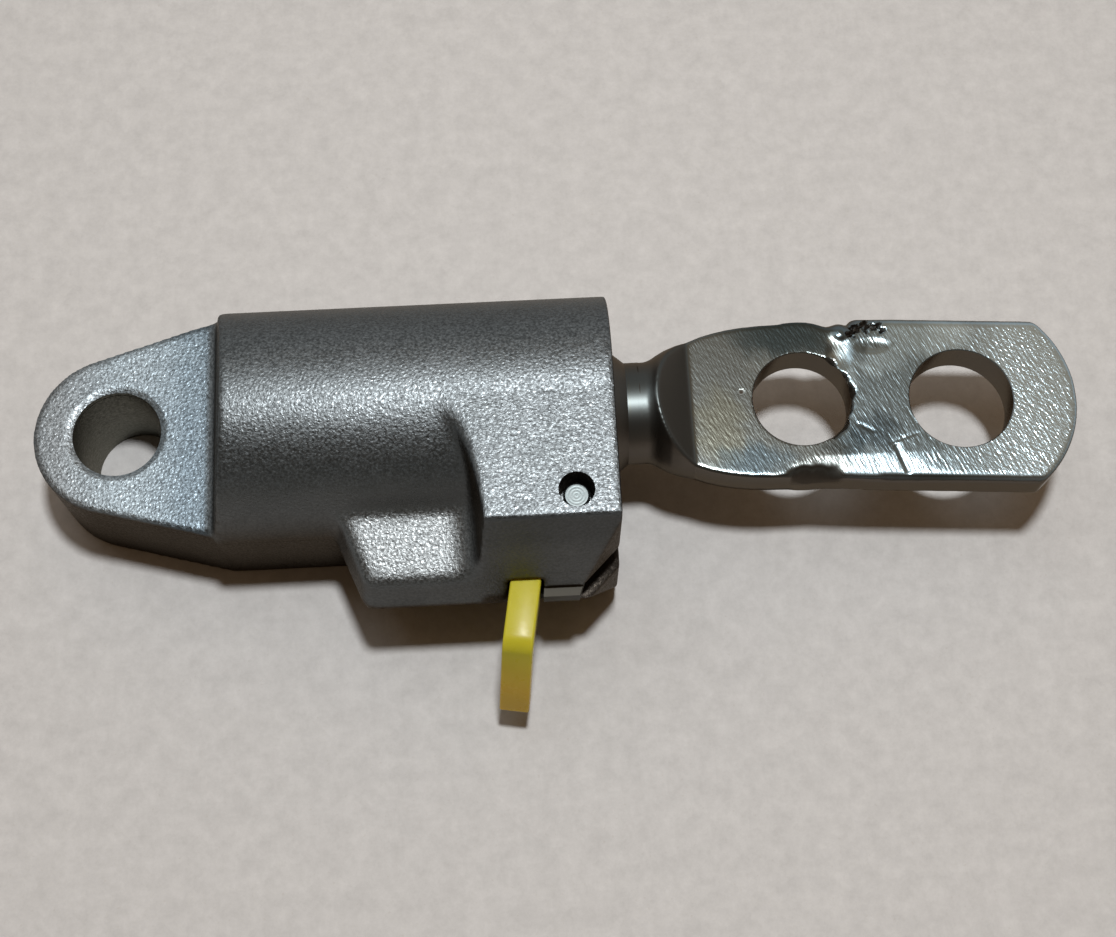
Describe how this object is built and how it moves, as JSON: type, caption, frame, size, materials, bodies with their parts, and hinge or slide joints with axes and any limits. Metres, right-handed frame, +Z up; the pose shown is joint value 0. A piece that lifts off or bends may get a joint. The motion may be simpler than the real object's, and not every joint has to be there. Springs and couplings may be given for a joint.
{
  "type": "timing chain tensioner",
  "caption": "Strut chain tensioner: cast housing with an eye and latch block, ratchet plunger with a flattened eye, and a drilled plate welded on as an extension.",
  "frame": {"origin": "on the axis of the housing eye's bore, at the flat base of the housing", "axes": "+X along the plunger towards the welded plate, +Y away from the latch block, +Z up along the eye's bore"},
  "size_m": [0.1061, 0.0413, 0.0233],
  "materials": {
    "cast_aluminium": "bead blasted casting",
    "turned_steel": "bright with a heat tint",
    "ground_steel": "hand ground",
    "weld_steel": "rough weld, partly ground",
    "spring_steel": "drawn wire",
    "pawl_steel": "blanked sheet",
    "pin_steel": "turned end",
    "yellow_plastic": "moulded, slightly translucent"
  },
  "bodies": {
    "body": {"housing": "cast_aluminium", "pawl_pin": "pin_steel", "plunger_spring": "spring_steel", "pawl_spring": "spring_steel"},
    "ram": {"plunger": "turned_steel", "extension_plate": "ground_steel", "weld_bead": "weld_steel"},
    "latch": {"pawl": "pawl_steel"},
    "tab": {"pull_tab": "yellow_plastic"}
  },
  "joints": [
    {"name": "plunger_slide", "type": "slide", "parent": "body", "child": "ram", "axis": [1, 0, 0], "range_m": [0, 0.014], "deforming": ["plunger_spring"]},
    {"name": "pawl_pivot", "type": "hinge", "parent": "body", "child": "latch", "pos_m": [0.04605, -0.012, 0.0121], "axis": [0, 0, 1], "range_deg": [0, 10], "deforming": ["pawl_spring"]},
    {"name": "tab_pull", "type": "slide", "parent": "body", "child": "tab", "axis": [-0.165, -0.9863, 0], "range_m": [0, 0.009]}
  ]
}
